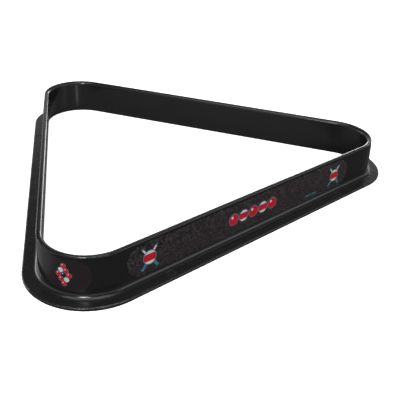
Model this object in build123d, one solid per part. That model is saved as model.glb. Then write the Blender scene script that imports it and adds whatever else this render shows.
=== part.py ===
from build123d import *
import os
from math import atan2, cos, degrees, radians, sin, sqrt, tan

# Triangle rack for fifteen billiard balls: one plastic moulding with six stuck-on labels.
# Millimetres. +Z is up and the rack stands on z = 0. The origin is the middle of its footprint.
# The flat front side faces -Y and the rear corner points along +Y.
#
# Everything follows the "core" triangle, whose corners are the centres of the rounded corners.
# "out" is the distance outwards from the core triangle, on the sides and round the corners alike.

# ---- driving dimensions ----
BALL_DIAMETER = 57.15
BALLS_PER_SIDE = 5
BALL_CLEARANCE = 0.7        # between the racked balls and the rim, on each side

HEIGHT = 30.0               # a little over half a ball
RIM_INNER_OUT = 27.4        # the rim's inner edge, and so its corner radius
RIM_WIDTH = 4.3
RIM_INNER_RADIUS = 2.7      # the rim rounds over softly towards the balls
RIM_OUTER_RADIUS = 1.2      # and more tightly towards the labels

INNER_FOOT_OUT = 30.2       # the inner face leans in towards the top
INNER_FOOT_RADIUS = 1.0
OUTER_FOOT_OUT = 32.6       # the outer face, at the top of the flange

FLANGE_OUT = 42.4
FLANGE_THICKNESS = 2.0
FLANGE_EDGE_RADIUS = 1.1
FLANGE_UNDER_RADIUS = 0.3
FLANGE_FILLET = 3.4         # between the flange and the outer face

PIN_MARK_DIAMETER = 5.0     # witness marks of the mould's ejector pins, on the flange
PIN_MARK_DEPTH = 0.25
PIN_MARK_CLEARANCE = 1.0    # how far up the cut goes, because a mark nicks the foot of the fillet
PIN_MARK_SPACING = 167.0    # between the two marks of one side

LABEL_THICKNESS = 0.3
LABEL_HEIGHT = 21.6
LABEL_MIDDLE_HEIGHT = 16.8
SIDE_LABEL_LENGTH = 210.0
SIDE_LABEL_SHIFT = -8.0     # the labels are stuck on a little left of the middle
CORNER_LABEL_ARC = 60.0     # degrees of the corner that the corner label covers

# ---- derived dimensions ----
BALL_TRIANGLE_INRADIUS = (BALLS_PER_SIDE - 1) * BALL_DIAMETER / (2 * sqrt(3))
CORE_INRADIUS = BALL_TRIANGLE_INRADIUS + BALL_DIAMETER / 2 + BALL_CLEARANCE - RIM_INNER_OUT
CORE_SIDE = 2 * sqrt(3) * CORE_INRADIUS
CENTROID = Vector(0, -CORE_INRADIUS / 2, 0)

RIM_OUTER_OUT = RIM_INNER_OUT + RIM_WIDTH
DRAFT = degrees(atan2(OUTER_FOOT_OUT - RIM_OUTER_OUT, HEIGHT - FLANGE_THICKNESS))
PIN_MARK_OUT = (OUTER_FOOT_OUT + FLANGE_OUT) / 2

SIDE_NAMES = {"front": -90, "rear_right": 30, "rear_left": 150}
CORNER_NAMES = {"front_right": -30, "rear": 90, "front_left": 210}
UP = Vector(0, 0, 1)


def direction(angle):
    """The level unit vector that points this many degrees round from +X."""
    return Vector(cos(radians(angle)), sin(radians(angle)), 0)


def core_corner(angle):
    """The core triangle's corner that lies in this direction from the centroid."""
    return CENTROID + direction(angle) * (2 * CORE_INRADIUS)


def outer_face_out(height):
    """How far out the outer face is at this height."""
    return OUTER_FOOT_OUT - (height - FLANGE_THICKNESS) * tan(radians(DRAFT))


def wall_section():
    """The moulding's cross-section, with out along X and height along Y."""
    radii = {
        (INNER_FOOT_OUT, 0): INNER_FOOT_RADIUS,
        (FLANGE_OUT, 0): FLANGE_UNDER_RADIUS,
        (FLANGE_OUT, FLANGE_THICKNESS): FLANGE_EDGE_RADIUS,
        (OUTER_FOOT_OUT, FLANGE_THICKNESS): FLANGE_FILLET,
        (RIM_OUTER_OUT, HEIGHT): RIM_OUTER_RADIUS,
        (RIM_INNER_OUT, HEIGHT): RIM_INNER_RADIUS,
    }
    section = make_face(Polyline(*radii, close=True))
    for corner, radius in radii.items():
        section = fillet(section.vertices().sort_by_distance((*corner, 0))[0], radius)
    return section


def upright_plane(origin, angle):
    """A plane at origin whose X points out in this direction and whose Y points up."""
    return Plane(origin=origin, x_dir=direction(angle), z_dir=direction(angle - 90))


def pin_marks():
    """The six shallow round marks on top of the flange, as one cutting tool."""
    mark = extrude(Circle(PIN_MARK_DIAMETER / 2), PIN_MARK_DEPTH + PIN_MARK_CLEARANCE)
    tools = []
    for angle in SIDE_NAMES.values():
        middle = CENTROID + direction(angle) * (CORE_INRADIUS + PIN_MARK_OUT)
        for end in (-1, 1):
            place = middle + direction(angle + 90) * (end * PIN_MARK_SPACING / 2)
            tools.append(Pos(place + UP * (FLANGE_THICKNESS - PIN_MARK_DEPTH)) * mark)
    return tools


def rack_body():
    """The whole moulding: three straight walls and three rounded corners of one section."""
    section = wall_section()
    pieces = []
    for angle in SIDE_NAMES.values():
        corner = core_corner(angle + 60)
        plane = upright_plane(corner, angle)
        pieces.append(extrude(plane * section, CORE_SIDE))
        pieces.append(revolve(plane * section, Axis(corner, UP), 120))
    return (pieces[0] + pieces[1:] - pin_marks()).clean()


def side_label(angle):
    """A thin round-ended label flat on one side's outer face."""
    middle = CENTROID + direction(angle) * (CORE_INRADIUS + outer_face_out(LABEL_MIDDLE_HEIGHT))
    middle += direction(angle + 90) * SIDE_LABEL_SHIFT + UP * LABEL_MIDDLE_HEIGHT
    outwards = direction(angle) * cos(radians(DRAFT)) + UP * sin(radians(DRAFT))
    face = Plane(origin=middle, x_dir=direction(angle + 90), z_dir=outwards)
    return extrude(face * SlotOverall(SIDE_LABEL_LENGTH, LABEL_HEIGHT), LABEL_THICKNESS)


def corner_label(angle):
    """A thin round-ended label wrapped round one corner's outer face."""
    corner = core_corner(angle)
    low = LABEL_MIDDLE_HEIGHT - LABEL_HEIGHT
    high = LABEL_MIDDLE_HEIGHT + LABEL_HEIGHT
    level_thickness = LABEL_THICKNESS / cos(radians(DRAFT))
    strip = make_face(Polyline(
        (outer_face_out(low), low),
        (outer_face_out(low) + level_thickness, low),
        (outer_face_out(high) + level_thickness, high),
        (outer_face_out(high), high),
        close=True,
    ))
    skin = revolve(upright_plane(corner, angle - 60) * strip, Axis(corner, UP), 120)
    width = 2 * outer_face_out(LABEL_MIDDLE_HEIGHT) * sin(radians(CORNER_LABEL_ARC / 2))
    front = Plane(
        origin=corner + UP * LABEL_MIDDLE_HEIGHT,
        x_dir=direction(angle + 90),
        z_dir=direction(angle),
    )
    return skin & extrude(front * SlotOverall(width, LABEL_HEIGHT), FLANGE_OUT)


def build_parts():
    """Every node of the rack, by name."""
    parts = {"rack_body": rack_body()}
    for name, angle in SIDE_NAMES.items():
        parts[f"{name}_side_label"] = side_label(angle)
    for name, angle in CORNER_NAMES.items():
        parts[f"{name}_corner_label"] = corner_label(angle)
    return parts


os.makedirs("parts", exist_ok=True)
for node, shape in build_parts().items():
    export_step(shape, f"parts/{node}.step")
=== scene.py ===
import math

import bmesh
import bpy
from mathutils import Matrix, Vector


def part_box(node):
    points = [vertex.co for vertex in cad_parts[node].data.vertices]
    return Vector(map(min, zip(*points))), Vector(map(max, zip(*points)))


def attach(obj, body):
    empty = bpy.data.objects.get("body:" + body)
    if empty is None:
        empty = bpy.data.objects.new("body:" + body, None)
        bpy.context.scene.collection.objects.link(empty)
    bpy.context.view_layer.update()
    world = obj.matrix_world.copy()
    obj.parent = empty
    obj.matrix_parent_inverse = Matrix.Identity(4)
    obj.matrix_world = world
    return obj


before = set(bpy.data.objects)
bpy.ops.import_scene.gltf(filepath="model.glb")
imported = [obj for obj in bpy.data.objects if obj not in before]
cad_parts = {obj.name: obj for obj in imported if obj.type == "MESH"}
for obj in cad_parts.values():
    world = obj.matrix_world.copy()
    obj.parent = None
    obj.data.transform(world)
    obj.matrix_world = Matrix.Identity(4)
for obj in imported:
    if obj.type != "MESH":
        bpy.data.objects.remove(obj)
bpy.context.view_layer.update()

MM = 0.001
UP = Vector((0, 0, 1))

# ---- sizes, in millimetres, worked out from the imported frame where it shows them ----
# "out" is the distance outwards from the core triangle, whose corners are the centres of the
# rounded corners, on the sides and round the corners alike.
frame_low, frame_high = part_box("rack_body")
FRAME_SIZE = (frame_high - frame_low) / MM
CORE_SIDE = (FRAME_SIZE.x - FRAME_SIZE.y) / (1 - math.sqrt(3) / 2)
CORE_INRADIUS = CORE_SIDE / (2 * math.sqrt(3))
CENTROID = Vector((0, -CORE_INRADIUS / 2, 0))
HEIGHT = FRAME_SIZE.z
FLANGE_OUT = (FRAME_SIZE.x - CORE_SIDE) / 2
FLANGE_THICKNESS = 2.0
INNER_FACE_OUT = 30.2       # at its foot, where it is furthest out
PIN_MARK_RADIUS = 2.5
PIN_MARK_SPACING = 167.0    # between the two marks on one side's flange
PIN_MARK_OUT = 37.5

label_low, label_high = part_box("front_side_label")
LABEL_LOW = label_low.z / MM
LABEL_HIGH = label_high.z / MM
LABEL_MIDDLE = (LABEL_LOW + LABEL_HIGH) / 2
SIDE_LABEL_SHIFT = (label_low.x + label_high.x) / 2 / MM
LABEL_THICKNESS = 0.3
LABEL_OUT_LOW = -label_low.y / MM - CORE_INRADIUS * 1.5      # its outer face, at its foot
LABEL_LEAN = (label_high.y - label_low.y) / MM - LABEL_THICKNESS    # how far the face leans in
LABEL_DRAFT = LABEL_LEAN / (LABEL_HIGH - LABEL_LOW)

SIDE_ANGLES = {"front": -90, "rear_right": 30, "rear_left": 150}
CORNER_ANGLES = {"front_right": -30, "rear": 90, "front_left": 210}


def direction(angle):
    """The level unit vector that points this many degrees round from +X."""
    return Vector((math.cos(math.radians(angle)), math.sin(math.radians(angle)), 0))


def label_out(height):
    """How far out the labels' outer face is at this height."""
    return LABEL_OUT_LOW - (height - LABEL_LOW) * LABEL_DRAFT


def on_side_label(angle):
    """Maps label coordinates (right, up, lift) to a point on one side's label, in metres."""
    def place(right, up, lift):
        height = LABEL_MIDDLE + up
        out = CORE_INRADIUS + label_out(height) + lift
        along = direction(angle + 90) * (SIDE_LABEL_SHIFT + right)
        return (CENTROID + direction(angle) * out + along + UP * height) * MM
    return place


def on_corner_label(angle):
    """Maps label coordinates (right, up, lift) to a point on one corner's label, in metres."""
    corner = CENTROID + direction(angle) * (2 * CORE_INRADIUS)

    def place(right, up, lift):
        height = LABEL_MIDDLE + up
        turn = math.degrees(right / label_out(LABEL_MIDDLE))
        out = direction(angle + turn) * (label_out(height) + lift)
        return (corner + out + UP * height) * MM
    return place


# ---- shader building ----
class Shader:
    """A material's node tree, with short calls for the nodes used here."""

    def __init__(self, name):
        self.material = bpy.data.materials.new(name)
        self.material.use_nodes = True
        self.tree = self.material.node_tree
        self.tree.nodes.clear()
        self.place = self.add("ShaderNodeTexCoord").outputs["Object"]

    def add(self, kind, inputs=None, **settings):
        """A node with these settings, and with these inputs set or linked."""
        node = self.tree.nodes.new(kind)
        for name, value in settings.items():
            setattr(node, name, value)
        for key, value in (inputs or {}).items():
            socket = node.inputs[key]
            if isinstance(value, bpy.types.NodeSocket):
                self.tree.links.new(value, socket)
            else:
                socket.default_value = value
        return node

    def math(self, operation, *values):
        """A Math node's output."""
        return self.add("ShaderNodeMath", dict(enumerate(values)), operation=operation).outputs[0]

    def noise(self, size, detail=2.0, roughness=0.5, stretch=(1, 1, 1)):
        """A 0 to 1 noise whose lumps are about size millimetres."""
        scaled = self.add(
            "ShaderNodeVectorMath", {0: self.place, 1: stretch}, operation="MULTIPLY"
        ).outputs[0]
        inputs = {
            "Vector": scaled, "Scale": 1 / (size * MM), "Detail": detail, "Roughness": roughness,
        }
        return self.add("ShaderNodeTexNoise", inputs).outputs["Fac"]

    def specks(self, spacing, radius, share):
        """1 on round dots of this radius, in this share of cells this far apart, and 0 elsewhere."""
        cells = self.add("ShaderNodeTexVoronoi", {"Vector": self.place, "Scale": 1 / (spacing * MM)})
        inside = self.ramp(cells.outputs["Distance"], radius / spacing, 0.6 * radius / spacing)
        draw = self.add("ShaderNodeSeparateXYZ", {0: cells.outputs["Color"]}).outputs[0]
        return self.math("MULTIPLY", inside, self.math("LESS_THAN", draw, share))

    def dot(self, first, second):
        """A dot product."""
        node = self.add("ShaderNodeVectorMath", {0: first, 1: second}, operation="DOT_PRODUCT")
        return node.outputs["Value"]

    def length(self, first, second):
        """The length of a vector with these two components."""
        squares = [self.math("MULTIPLY", value, value) for value in (first, second)]
        return self.math("SQRT", self.math("ADD", *squares))

    def least(self, values):
        """The smallest of these values."""
        smallest = values[0]
        for value in values[1:]:
            smallest = self.math("MINIMUM", smallest, value)
        return smallest

    def shift(self, origin):
        """The vector to a point from this origin, which is in millimetres."""
        inputs = {0: self.place, 1: origin * MM}
        return self.add("ShaderNodeVectorMath", inputs, operation="SUBTRACT").outputs[0]

    def beside(self, angle):
        """How far along one side a point is, either way from its middle, and how far out it is."""
        from_middle = self.shift(CENTROID)
        along = self.math("ABSOLUTE", self.dot(from_middle, direction(angle + 90) / MM))
        away = self.math("SUBTRACT", self.dot(from_middle, direction(angle) / MM), CORE_INRADIUS)
        return along, away

    def out(self):
        """How far a point is outside the core triangle, in millimetres."""
        distances = []
        for angle in SIDE_ANGLES.values():
            along, away = self.beside(angle)
            beyond = self.math("MAXIMUM", self.math("SUBTRACT", along, CORE_SIDE / 2), 0.0)
            distances.append(self.length(beyond, away))
        return self.least(distances)

    def from_pin_mark(self):
        """How far a point is from the middle of the nearest ejector pin's mark, in millimetres."""
        distances = []
        for angle in SIDE_ANGLES.values():
            along, away = self.beside(angle)
            across = self.math("SUBTRACT", along, PIN_MARK_SPACING / 2)
            distances.append(self.length(across, self.math("SUBTRACT", away, PIN_MARK_OUT)))
        return self.least(distances)

    def from_turn(self, turn):
        """How many degrees a point is round the rear corner from this direction."""
        from_corner = self.shift(CENTROID + direction(CORNER_ANGLES["rear"]) * (2 * CORE_INRADIUS))
        ahead = self.dot(from_corner, direction(turn))
        aside = self.dot(from_corner, direction(turn + 90))
        return self.math("DEGREES", self.math("ABSOLUTE", self.math("ARCTAN2", aside, ahead)))

    def height(self):
        """How high a point is, in millimetres."""
        return self.dot(self.place, UP / MM)

    def ramp(self, value, low, high, to_low=0.0, to_high=1.0):
        """value rescaled from low..high to to_low..to_high, smoothly and clamped."""
        inputs = {
            "Value": value, "From Min": low, "From Max": high, "To Min": to_low, "To Max": to_high,
        }
        return self.add("ShaderNodeMapRange", inputs, interpolation_type="SMOOTHSTEP").outputs[0]

    def mix(self, share, first, second):
        """A colour that goes from first to second as share goes from 0 to 1."""
        # inputs 6 and 7 and output 2 are the Mix node's colour sockets
        inputs = {"Factor": share, 6: first, 7: second}
        return self.add("ShaderNodeMix", inputs, data_type="RGBA").outputs[2]

    def bump(self, height, distance, strength=1.0, normal=None):
        """A bumped normal, for a 0 to 1 height that stands for distance millimetres."""
        inputs = {"Height": height, "Distance": distance * MM, "Strength": strength}
        if normal is not None:
            inputs["Normal"] = normal
        return self.add("ShaderNodeBump", inputs).outputs[0]

    def finish(self, **inputs):
        """Ends in one Principled BSDF. Underscores in names stand for spaces."""
        named = {key.replace("_", " "): value for key, value in inputs.items()}
        shader = self.add("ShaderNodeBsdfPrincipled", named)
        self.add("ShaderNodeOutputMaterial", {"Surface": shader.outputs[0]})
        return self.material


def grey(level):
    """An opaque grey of this linear level."""
    return (level, level, level, 1)


# ---- materials ----
# Where the painted highlight streaks inside the rear corner stand:
NARROW_STREAK_TURN = 65    # degrees round the rear corner, from +X
BROAD_STREAK_TURN = 90


def pin_rim_highlights(s):
    """1 on a thin ring at the edge of each ejector pin's mark, and 0 elsewhere: where a painted
    highlight lightens the mark's rim.
    """
    from_mark = s.from_pin_mark()
    return s.math(
        "MULTIPLY",
        s.ramp(from_mark, PIN_MARK_RADIUS - 0.7, PIN_MARK_RADIUS),
        s.ramp(from_mark, PIN_MARK_RADIUS + 0.5, PIN_MARK_RADIUS + 0.1),
    )


def painted_highlight_streaks(s, out, height):
    """Up to 1 on upright lighter streaks inside the rear corner: painted highlights, where light
    catches the curved inner face.
    """
    faint = 0.16
    from_narrow = s.from_turn(NARROW_STREAK_TURN)
    narrow = s.math("MAXIMUM", s.ramp(from_narrow, 3.5, 0.5), s.ramp(from_narrow, 11, 3, 0.0, faint))
    broad = s.ramp(s.from_turn(BROAD_STREAK_TURN), 8, 2, 0.0, faint)
    inside = s.ramp(out, INNER_FACE_OUT + 1.5, INNER_FACE_OUT + 0.5)
    fade = s.math("MULTIPLY", s.ramp(height, 2, 12), s.ramp(height, HEIGHT - 1.5, HEIGHT - 4))
    highlight_streaks = s.math("MAXIMUM", narrow, broad)
    return s.math("MULTIPLY", s.math("MULTIPLY", highlight_streaks, inside), fade)


def black_plastic():
    """Satin black moulding: soft waviness, fine grain, dust, pin marks, worn edges, and painted
    highlights on the pin marks' rims and in streaks inside the rear corner.
    """
    s = Shader("moulded_black_plastic")
    out = s.out()
    height = s.height()
    flow = s.noise(45, detail=3)
    haze = s.noise(9, detail=4, roughness=0.6)
    mottle = s.noise(2.2, detail=4, roughness=0.65)
    scratches = s.ramp(s.noise(0.6, detail=2, stretch=(0.12, 1, 1)), 0.66, 0.74)
    top_of_flange = s.ramp(height, FLANGE_THICKNESS + 0.5, FLANGE_THICKNESS - 0.2)
    edge_of_flange = s.ramp(out, FLANGE_OUT - 1.6, FLANGE_OUT - 0.4)
    worn_edge = s.math("MULTIPLY", edge_of_flange, s.ramp(mottle, 0.45, 0.7))
    dust = s.specks(9, 0.32, 0.10)

    colour = s.mix(flow, (0.0105, 0.0108, 0.011, 1), (0.0155, 0.0158, 0.016, 1))
    colour = s.mix(s.math("MULTIPLY", top_of_flange, 0.1), colour, grey(0.03))
    colour = s.mix(s.math("MULTIPLY", worn_edge, 0.5), colour, grey(0.035))
    colour = s.mix(s.math("MULTIPLY", dust, 0.5), colour, grey(0.14))
    # painted highlight: a lighter ring on each pin mark's rim, where the recess edge catches light
    colour = s.mix(s.math("MULTIPLY", pin_rim_highlights(s), 0.4), colour, grey(0.07))
    # painted highlight: lighter upright streaks inside the rear corner, where light catches the
    # curved inner face
    colour = s.mix(painted_highlight_streaks(s, out, height), colour, grey(0.085))

    roughness = s.ramp(haze, 0.35, 0.75, 0.15, 0.23)
    dulled = s.math("MULTIPLY", top_of_flange, s.ramp(mottle, 0.35, 0.7, 0.04, 0.10))
    scuffed = s.math("MULTIPLY", s.math("MAXIMUM", worn_edge, scratches), 0.12)
    roughness = s.math("ADD", s.math("ADD", roughness, dulled), scuffed)

    wave = s.bump(s.noise(40, detail=1), 0.25, 0.25)
    peel = s.bump(mottle, 0.008, 0.2, wave)
    grain = s.bump(s.noise(0.5, detail=2), 0.004, 0.2, peel)
    return s.finish(Base_Color=colour, Roughness=roughness, Normal=grain)


def side_label_film():
    """Printed vinyl with a fine dark plum grain."""
    s = Shader("grained_label_film")
    fine = s.noise(1.4, detail=3, roughness=0.8)
    grain = s.ramp(fine, 0.42, 0.66)
    cloud = s.noise(7, detail=2)
    dark = s.mix(cloud, (0.006, 0.005, 0.0055, 1), (0.008, 0.006, 0.007, 1))
    colour = s.mix(grain, dark, (0.096, 0.0765, 0.082, 1))
    return s.finish(Base_Color=colour, Roughness=0.42, Normal=s.bump(fine, 0.02, 0.3))


def corner_label_film():
    """Smooth dark printed vinyl."""
    s = Shader("plain_label_film")
    cloud = s.noise(6, detail=3)
    colour = s.mix(cloud, (0.018, 0.0136, 0.0157, 1), (0.0225, 0.0169, 0.0196, 1))
    return s.finish(Base_Color=colour, Roughness=0.35, Normal=s.bump(s.noise(0.8), 0.01, 0.3))


def ink(name, colour):
    """Printing ink of this colour, slightly uneven."""
    s = Shader(name)
    uneven = s.noise(0.7, detail=3)
    darker = tuple(0.72 * level for level in colour)
    return s.finish(
        Base_Color=s.mix(uneven, (*darker, 1), (*colour, 1)),
        Roughness=0.38,
        Normal=s.bump(uneven, 0.01, 0.3),
    )


FILM_MATERIALS = {"side_label": side_label_film(), "corner_label": corner_label_film()}
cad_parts["rack_body"].material_slots[0].material = black_plastic()
for node_name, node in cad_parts.items():
    for ending, film in FILM_MATERIALS.items():
        if node_name.endswith(ending):
            node.material_slots[0].material = film

INKS = {
    "red": ink("red_ink", (0.75, 0.012, 0.035)),
    "white": ink("white_ink", (0.9, 0.9, 0.9)),
    "teal": ink("teal_ink", (0.07, 0.27, 0.34)),
    "black": ink("black_ink", (0.012, 0.011, 0.012)),
}


# ---- printed marks: flat outlines in label millimetres, right and up from the label's middle ----
# Marks that overlap stand at different heights above the film, in millimetres, the lowest first.
CUE_LIFT = 0.02
DASH_LIFT = 0.03
BALL_RIM_LIFT = 0.04
BALL_LIFT = 0.06
BAND_LIFT = 0.08
GLINT_LIFT = 0.10


def arc(right, up, radius, start, end, steps=10):
    """Points on a circle, from one angle to another in degrees."""
    turns = (math.radians(start + (end - start) * k / steps) for k in range(steps + 1))
    return [(right + radius * math.cos(t), up + radius * math.sin(t)) for t in turns]


def disc(right, up, radius, steps=40):
    """The outline of a circle."""
    return arc(right, up, radius, 0, 360, steps)[:-1]


def rounded(points, radius, steps=8):
    """The outline at a distance of radius round a convex outline that runs anticlockwise."""
    outline = []
    for k, (x, y) in enumerate(points):
        before = points[k - 1]
        after = points[(k + 1) % len(points)]
        start = math.atan2(y - before[1], x - before[0]) - math.pi / 2
        end = math.atan2(after[1] - y, after[0] - x) - math.pi / 2
        turn = (end - start) % (2 * math.pi)
        for step in range(steps + 1):
            t = start + turn * step / steps
            outline.append((x + radius * math.cos(t), y + radius * math.sin(t)))
    return outline


def bar(start, end, start_width, end_width):
    """The outline of a straight bar that tapers from one end to the other."""
    along = (Vector(end) - Vector(start)).normalized()
    across = Vector((along.y, -along.x)) / 2
    corners = [
        Vector(start) - across * start_width, Vector(start) + across * start_width,
        Vector(end) + across * end_width, Vector(end) - across * end_width,
    ]
    return [tuple(corner) for corner in corners]


def between(start, end, share):
    """The point this share of the way from start to end."""
    return tuple(Vector(start).lerp(Vector(end), share))


def shifted(shapes, right):
    """The same shapes, further to the right."""
    return [(colour, lift, [(x + right, y) for x, y in outline]) for colour, lift, outline in shapes]


def ball(colour, right, up, radius):
    """A plain ball with a teal rim and, unless it is white, a small highlight."""
    rim_radius = radius * 1.12
    glint_radius = radius * 0.24
    glint = radius * 0.32       # how far the highlight is to the left
    shapes = [
        ("teal", BALL_RIM_LIFT, disc(right, up, rim_radius)),
        (colour, BALL_LIFT, disc(right, up, radius)),
    ]
    if colour != "white":
        shapes.append(("white", GLINT_LIFT, disc(right - glint, up + glint * 1.3, glint_radius)))
    return shapes


def striped_ball(colour, right, up, radius):
    """A white ball with a broad band of colour."""
    half = 34       # degrees that the band reaches up and down the ball's limb
    band = arc(right, up, radius, -half, half) + arc(right, up, radius, 180 - half, 180 + half)
    return ball("white", right, up, radius) + [(colour, BAND_LIFT, band)]


def crossed_cues():
    """A ball over crossed cues: the mark at both ends of a side label."""
    ball_radius = 4.6
    reach = 6.0         # the cues' ends, to the side of the ball's middle
    rise = 7.8          # and above and below it
    shapes = []
    for way in (-1, 1):
        butt = (way * -reach, -rise)
        tip = (way * reach, rise)
        joint = between(butt, tip, 0.33)
        ferrule = between(butt, tip, 0.92)
        shapes.append(("teal", CUE_LIFT, bar(butt, joint, 2.1, 1.7)))
        shapes.append(("white", CUE_LIFT, bar(joint, ferrule, 1.6, 1.2)))
        shapes.append(("teal", CUE_LIFT, bar(ferrule, tip, 1.3, 1.1)))
    return shapes + striped_ball("red", 0, 0, ball_radius)


def ball_row():
    """Five balls in a row, plain and striped in turn: the middle of a side label."""
    balls = 5
    radius = 4.1
    pitch = 9.3
    shapes = []
    for k in range(balls):
        kind = striped_ball if k % 2 else ball
        shapes += kind("red", (k - (balls - 1) / 2) * pitch, 0, radius)
    return shapes


def dash_row():
    """Three short teal dashes near the foot of a side label, each a thin bar with round ends."""
    foot = -7.9
    top = foot + 0.1
    end_radius = 0.55
    shapes = []
    for middle, half in ((-4.0, 1.7), (0, 0.6), (4.0, 1.7)):
        left = middle - half
        right = middle + half
        core = [(left, foot), (right, foot), (right, top), (left, top)]
        shapes.append(("teal", DASH_LIFT, rounded(core, end_radius)))
    return shapes


def nine_ball_rack():
    """Nine balls packed in a diamond: the mark on a corner label."""
    radius = 1.6
    pitch = radius * 2.2
    row_pitch = pitch * math.sin(math.radians(60))
    rows = (("red",), ("white", "red"), ("red", "black", "red"), ("red", "white"), ("red",))
    shapes = []
    for row, colours in enumerate(rows):
        up = (2 - row) * row_pitch
        for k, colour in enumerate(colours):
            shapes += ball(colour, (k - (len(colours) - 1) / 2) * pitch, up, radius)
    return shapes


CUES_FROM_MIDDLE = 88.5
DASHES_FROM_MIDDLE = 62
SIDE_LABEL_ART = (
    shifted(crossed_cues(), -CUES_FROM_MIDDLE)
    + ball_row()
    + shifted(dash_row(), DASHES_FROM_MIDDLE)
    + shifted(crossed_cues(), CUES_FROM_MIDDLE)
)
CORNER_LABEL_ART = nine_ball_rack()
INK_DEPTH = 0.06        # how far the print's underside is sunk into the film
CURVE_STEP = 0.7        # the longest stretch of print left straight round a corner


def slice_across(solid):
    """Cuts a flat shape into upright strips, so that it can follow a corner."""
    low = min(v.co.x for v in solid.verts)
    high = max(v.co.x for v in solid.verts)
    for k in range(1, math.ceil((high - low) / CURVE_STEP)):
        everything = list(solid.verts) + list(solid.edges) + list(solid.faces)
        cut = (low + k * CURVE_STEP, 0, 0)
        bmesh.ops.bisect_plane(solid, geom=everything, plane_co=cut, plane_no=(1, 0, 0))


def print_piece(name, colour, shapes, place, curved):
    """One mesh with all of a label's shapes of one colour, each a thin closed solid."""
    mesh = bmesh.new()
    for _, lift, outline in shapes:
        solid = bmesh.new()
        solid.faces.new([solid.verts.new((x, y, lift)) for x, y in outline])
        if curved:
            slice_across(solid)
        made = bmesh.ops.extrude_face_region(solid, geom=list(solid.faces))
        lowered = [v for v in made["geom"] if isinstance(v, bmesh.types.BMVert)]
        for vert in lowered:
            vert.co.z = -INK_DEPTH
        bmesh.ops.recalc_face_normals(solid, faces=solid.faces)
        part = bpy.data.meshes.new("part")
        solid.to_mesh(part)
        mesh.from_mesh(part)
        bpy.data.meshes.remove(part)
        solid.free()
    for vert in mesh.verts:
        vert.co = place(*vert.co)
    data = bpy.data.meshes.new(name)
    mesh.to_mesh(data)
    mesh.free()
    piece = bpy.data.objects.new(name, data)
    bpy.context.scene.collection.objects.link(piece)
    data.materials.append(INKS[colour])
    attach(piece, "root")


def print_label(name, art, place, curved):
    """A label's whole print, one piece for each ink."""
    for colour in INKS:
        shapes = [shape for shape in art if shape[0] == colour]
        if shapes:
            print_piece(f"{name}_print_{colour}", colour, shapes, place, curved)


for side, side_angle in SIDE_ANGLES.items():
    print_label(f"{side}_side", SIDE_LABEL_ART, on_side_label(side_angle), curved=False)
for corner_name, corner_angle in CORNER_ANGLES.items():
    print_label(f"{corner_name}_corner", CORNER_LABEL_ART, on_corner_label(corner_angle), curved=True)


# ---- studio: floor, light and camera ----
def plane(name, size, height, material):
    """A level square that is part of the stage."""
    half = size / 2
    data = bpy.data.meshes.new(name)
    corners = [(x * half, y * half, height) for x, y in ((-1, -1), (1, -1), (1, 1), (-1, 1))]
    data.from_pydata(corners, [], [(0, 1, 2, 3)])
    data.materials.append(material)
    floor = bpy.data.objects.new(name, data)
    bpy.context.scene.collection.objects.link(floor)
    return floor


def pale_floor():
    """The floor as the camera sees it: matt, and glowing enough to come out white."""
    s = Shader("pale_floor")
    return s.finish(
        Base_Color=grey(0.8), Roughness=1.0, Specular_IOR_Level=0.0,
        Emission_Color=grey(1.0), Emission_Strength=0.9,
    )


def shaded_floor():
    """The floor as the rack mirrors it, darker from just behind the front wall forwards and from the
    right corner outwards: painted shade, as of the rack's own shadow."""
    s = Shader("shaded_floor")
    behind = s.ramp(s.dot(s.place, direction(90) / MM), -101, -89)      # millimetres along +Y
    left = s.ramp(s.dot(s.place, direction(0) / MM), 140, 118)          # and along +X
    # painted shade: grey 0.10 where the rack's shadow falls, 0.34 elsewhere
    colour = s.mix(s.math("MULTIPLY", behind, left), grey(0.10), grey(0.34))
    return s.finish(Base_Color=colour, Roughness=1.0, Specular_IOR_Level=0.0)


LIGHT_DISTANCE = 1.5        # metres


def soft_light(name, azimuth, elevation, width, height, radiance):
    """A rectangular light that faces the rack.

    It stands this many degrees round from +X and above the floor, and is this many degrees wide
    and high as the rack sees it.
    """
    data = bpy.data.lights.new(name, "AREA")
    data.shape = "RECTANGLE"
    data.size = 2 * LIGHT_DISTANCE * math.tan(math.radians(width / 2))
    data.size_y = 2 * LIGHT_DISTANCE * math.tan(math.radians(height / 2))
    data.energy = radiance * math.pi * data.size * data.size_y
    light = bpy.data.objects.new(name, data)
    level = math.cos(math.radians(elevation))
    towards = direction(azimuth) * level + UP * math.sin(math.radians(elevation))
    light.location = towards * LIGHT_DISTANCE
    light.rotation_euler = towards.to_track_quat("Z", "Y").to_euler()
    bpy.context.scene.collection.objects.link(light)
    light.visible_camera = False


def studio_world():
    """A plain grey surround: pale up to a little above the horizon, and dark higher up."""
    world = bpy.data.worlds.new("studio")
    world.use_nodes = True
    tree = world.node_tree
    tree.nodes.clear()
    coordinates = tree.nodes.new("ShaderNodeTexCoord")
    split = tree.nodes.new("ShaderNodeSeparateXYZ")
    ramp = tree.nodes.new("ShaderNodeValToRGB")
    background = tree.nodes.new("ShaderNodeBackground")
    output = tree.nodes.new("ShaderNodeOutputWorld")
    tree.links.new(coordinates.outputs["Generated"], split.inputs[0])
    tree.links.new(split.outputs["Z"], ramp.inputs[0])
    tree.links.new(ramp.outputs[0], background.inputs[0])
    tree.links.new(background.outputs[0], output.inputs[0])
    stops = ramp.color_ramp
    stops.elements[0].position = 0.0
    stops.elements[0].color = grey(0.8)
    stops.elements[1].position = 1.0
    stops.elements[1].color = grey(0.06)
    for position, level in ((0.30, 0.6), (0.45, 0.06)):
        stops.elements.new(position).color = grey(level)
    bpy.context.scene.world = world


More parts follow.
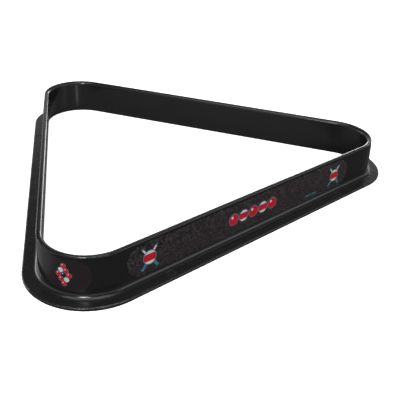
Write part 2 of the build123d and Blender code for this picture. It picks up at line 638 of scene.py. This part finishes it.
# The camera sees one floor. The rack is lit against and mirrors the other, just below it.
FLOOR_SIZE = 6.0            # metres
FLOOR_GAP = 0.0002          # metres
floor = plane("floor", FLOOR_SIZE, 0.0, pale_floor())
floor.visible_glossy = False
floor.visible_diffuse = False
floor.visible_shadow = False
mirrored_floor = plane("mirrored_floor", FLOOR_SIZE, -FLOOR_GAP, shaded_floor())
mirrored_floor.visible_camera = False

studio_world()
# name, azimuth, elevation, width, height, radiance
soft_light("back_right_light", 32, 7, 18, 12, 5.5)
soft_light("right_light", 12, 9, 22, 14, 0.6)
soft_light("back_left_light", 112, 8, 30, 14, 3.0)
soft_light("back_top_light", 25, 52, 44, 24, 0.6)
soft_light("top_light", 222, 70, 56, 40, 1.8)
soft_light("left_light", 219, 40, 10, 12, 28.0)
soft_light("front_right_light", -58, 24, 34, 26, 1.2)

CAMERA_AZIMUTH = -42.57     # degrees, 0 looks along +Y
CAMERA_ELEVATION = 29.89
CAMERA_ROLL = 2.78
CAMERA_DISTANCE = 0.45807   # metres
CAMERA_AIM = Vector((-0.00759, -0.07927, 0))
CAMERA_LENS = 54.46         # millimetres


def make_camera():
    """The camera, aimed at a point on the floor inside the triangle."""
    azimuth = math.radians(CAMERA_AZIMUTH)
    elevation = math.radians(CAMERA_ELEVATION)
    level = math.cos(elevation)
    back = Vector((math.sin(azimuth) * level, -math.cos(azimuth) * level, math.sin(elevation)))
    right = Vector((math.cos(azimuth), math.sin(azimuth), 0))
    rolled_right = Matrix.Rotation(math.radians(CAMERA_ROLL), 3, back) @ right
    rolled_up = back.cross(rolled_right)
    data = bpy.data.cameras.new("camera")
    data.lens = CAMERA_LENS
    camera = bpy.data.objects.new("camera", data)
    bpy.context.scene.collection.objects.link(camera)
    turn = Matrix((rolled_right, rolled_up, back)).transposed()
    camera.matrix_world = Matrix.LocRotScale(CAMERA_AIM + back * CAMERA_DISTANCE, turn, None)
    bpy.context.scene.camera = camera


make_camera()
bpy.context.scene.view_settings.view_transform = "Standard"
